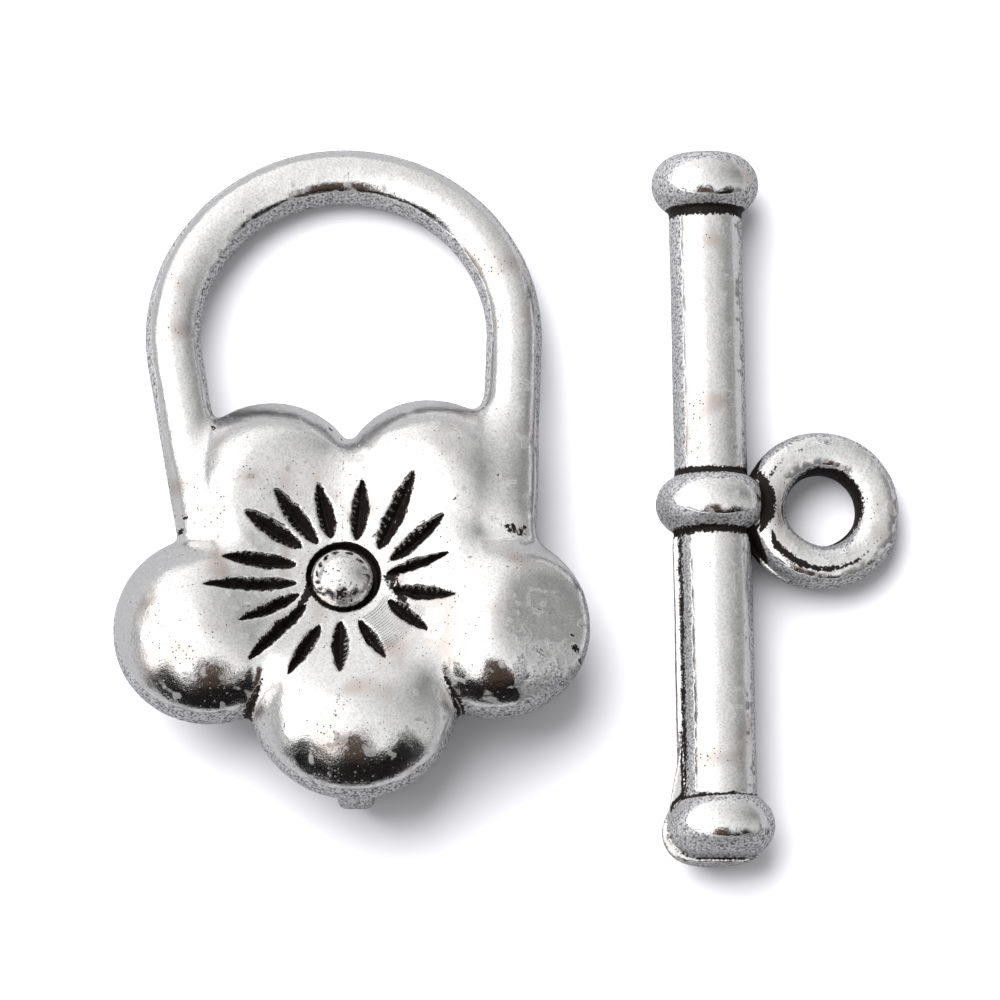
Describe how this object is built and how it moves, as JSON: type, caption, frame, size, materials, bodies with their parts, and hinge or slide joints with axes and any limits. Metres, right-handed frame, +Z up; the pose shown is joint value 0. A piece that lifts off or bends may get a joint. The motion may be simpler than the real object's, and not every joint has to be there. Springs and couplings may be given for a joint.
{
  "type": "toggle clasp",
  "caption": "Antique silver toggle clasp for jewellery: a domed flower with a D-shaped loop, and a loose knobbed toggle bar with an eye.",
  "frame": {"origin": "bottom centre of the box round both castings, on the surface that they lie on", "axes": "+X from the flower towards the bar's eye, +Y from the flower towards the loop, +Z up"},
  "size_m": [0.0216, 0.02, 0.0049],
  "materials": {
    "antique_silver_flower": "antique silver plating on cast zinc alloy, polished on the crests, matt on the skirt, black in the recesses",
    "antique_silver_bar": "antique silver plating on cast zinc alloy, polished on the crests, black in the grooves beside the knobs"
  },
  "bodies": {
    "root": {"flower_loop": "antique_silver_flower", "toggle_bar": "antique_silver_bar"}
  },
  "joints": []
}
